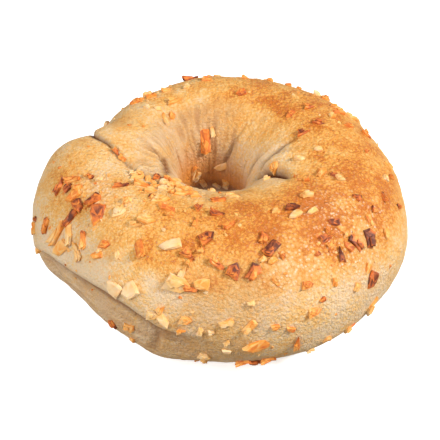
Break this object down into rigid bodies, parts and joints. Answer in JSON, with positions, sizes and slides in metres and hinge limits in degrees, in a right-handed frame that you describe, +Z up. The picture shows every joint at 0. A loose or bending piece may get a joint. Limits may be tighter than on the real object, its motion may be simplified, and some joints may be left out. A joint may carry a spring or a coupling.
{
  "type": "bagel",
  "caption": "Round baked bread ring with an off-centre hole, a folded seam, a flat underside and small dried onion flakes baked into the crust.",
  "frame": {"origin": "centre of the bounding box on the plane that the bagel lies on", "axes": "+Z up out of the flat underside, +X along the widest way across the ring, with the overlap of the dough on the -X side"},
  "size_m": [0.1145, 0.111, 0.0435],
  "materials": {
    "dough": "baked bread crust, beige with golden browning, slightly glossy",
    "flakes": "toasted dried onion, from pale cream to dark brown"
  },
  "bodies": {
    "root": {"bagel": "dough"}
  },
  "joints": []
}
